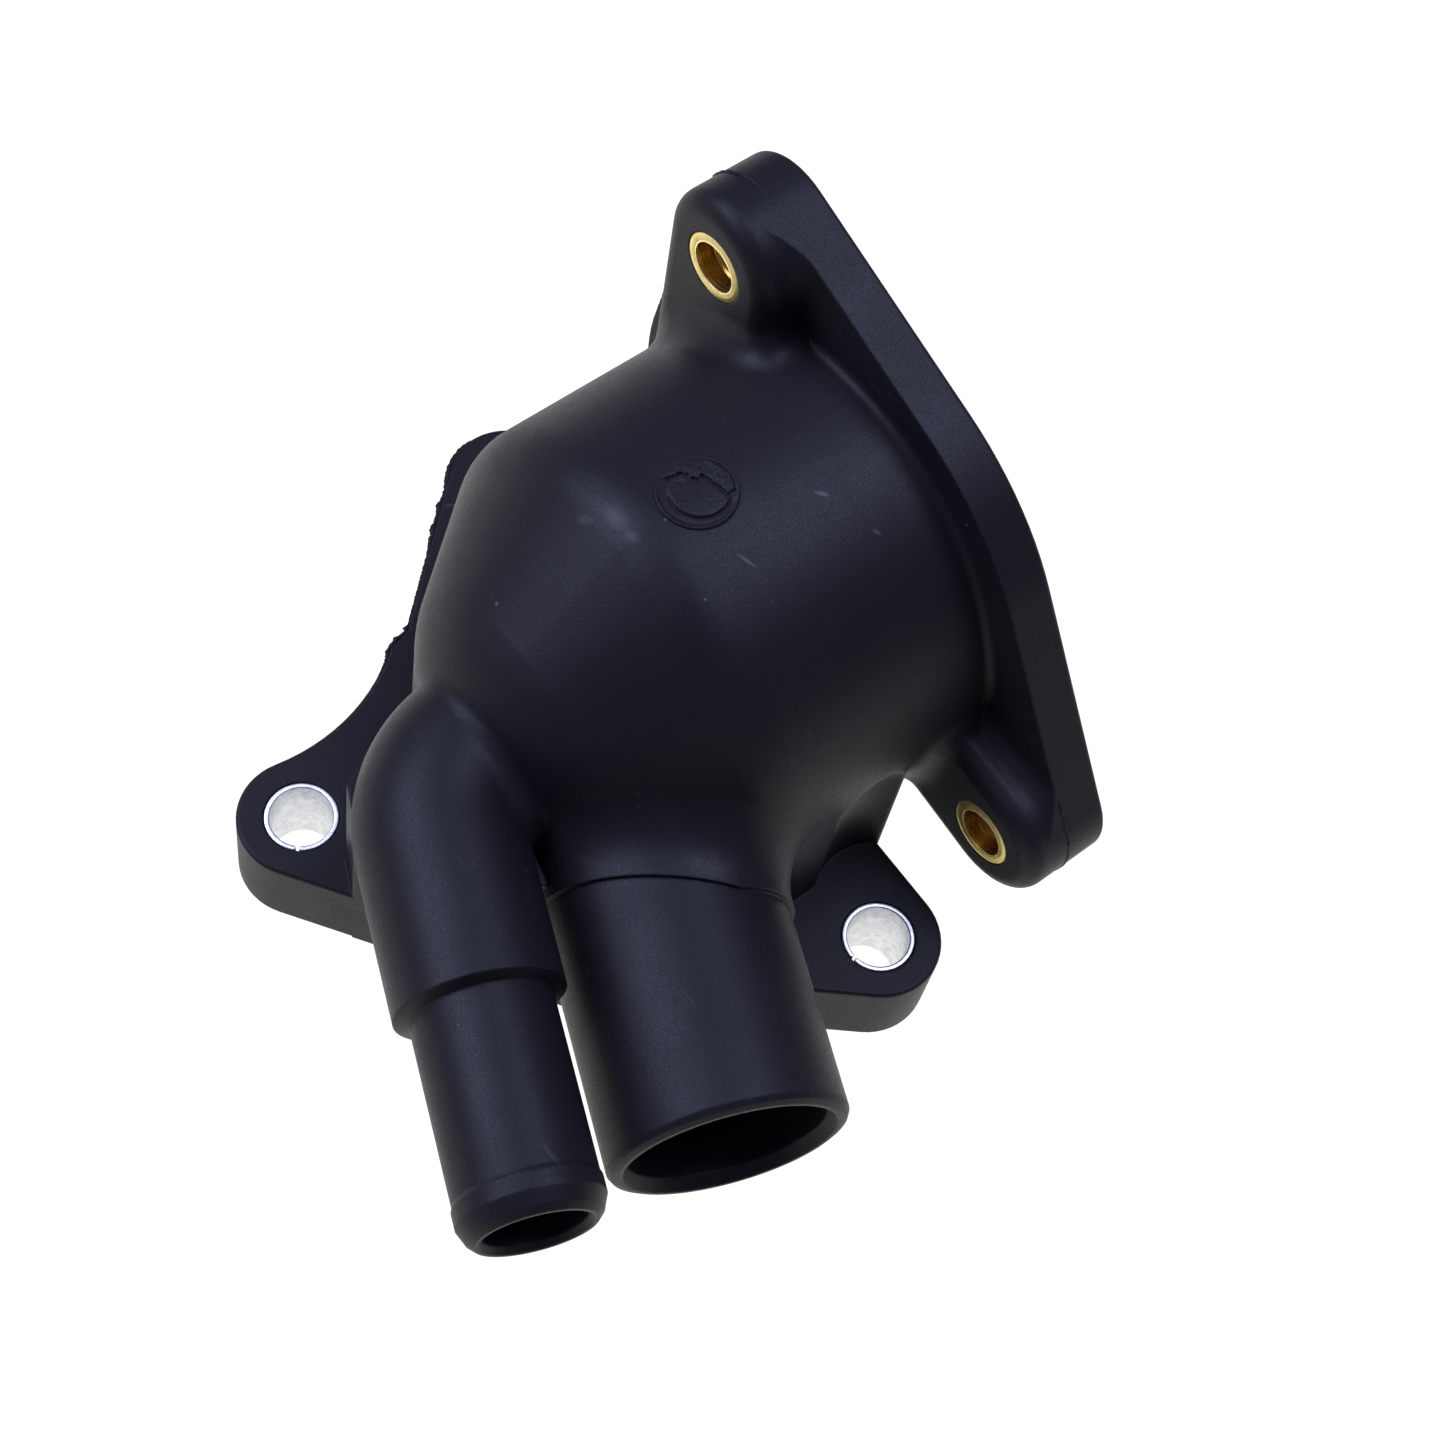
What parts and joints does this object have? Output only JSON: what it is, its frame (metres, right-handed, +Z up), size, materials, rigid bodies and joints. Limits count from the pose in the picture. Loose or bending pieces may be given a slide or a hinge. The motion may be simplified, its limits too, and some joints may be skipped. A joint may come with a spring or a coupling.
{
  "type": "thermostat housing",
  "caption": "Moulded engine thermostat housing with a domed chamber, a cover flange on one end, a lugged base plate and two hose spigots side by side.",
  "frame": {"origin": "middle of the coolant opening, on the base plate's underside", "axes": "+Z up from the base plate's underside, +X along the chamber's axis out of the cover flange, -Z out of the coolant opening"},
  "size_m": [0.1007, 0.1126, 0.0844],
  "materials": {
    "moulded_plastic": "satin black moulding, slightly grainy on the steep sides",
    "bright_steel": "plated rolled steel",
    "insert_brass": "turned brass"
  },
  "bodies": {
    "root": {"housing": "moulded_plastic", "limiter_left": "bright_steel", "limiter_right": "bright_steel", "limiter_rear": "bright_steel", "insert_upper": "insert_brass", "insert_lower": "insert_brass"}
  },
  "joints": []
}
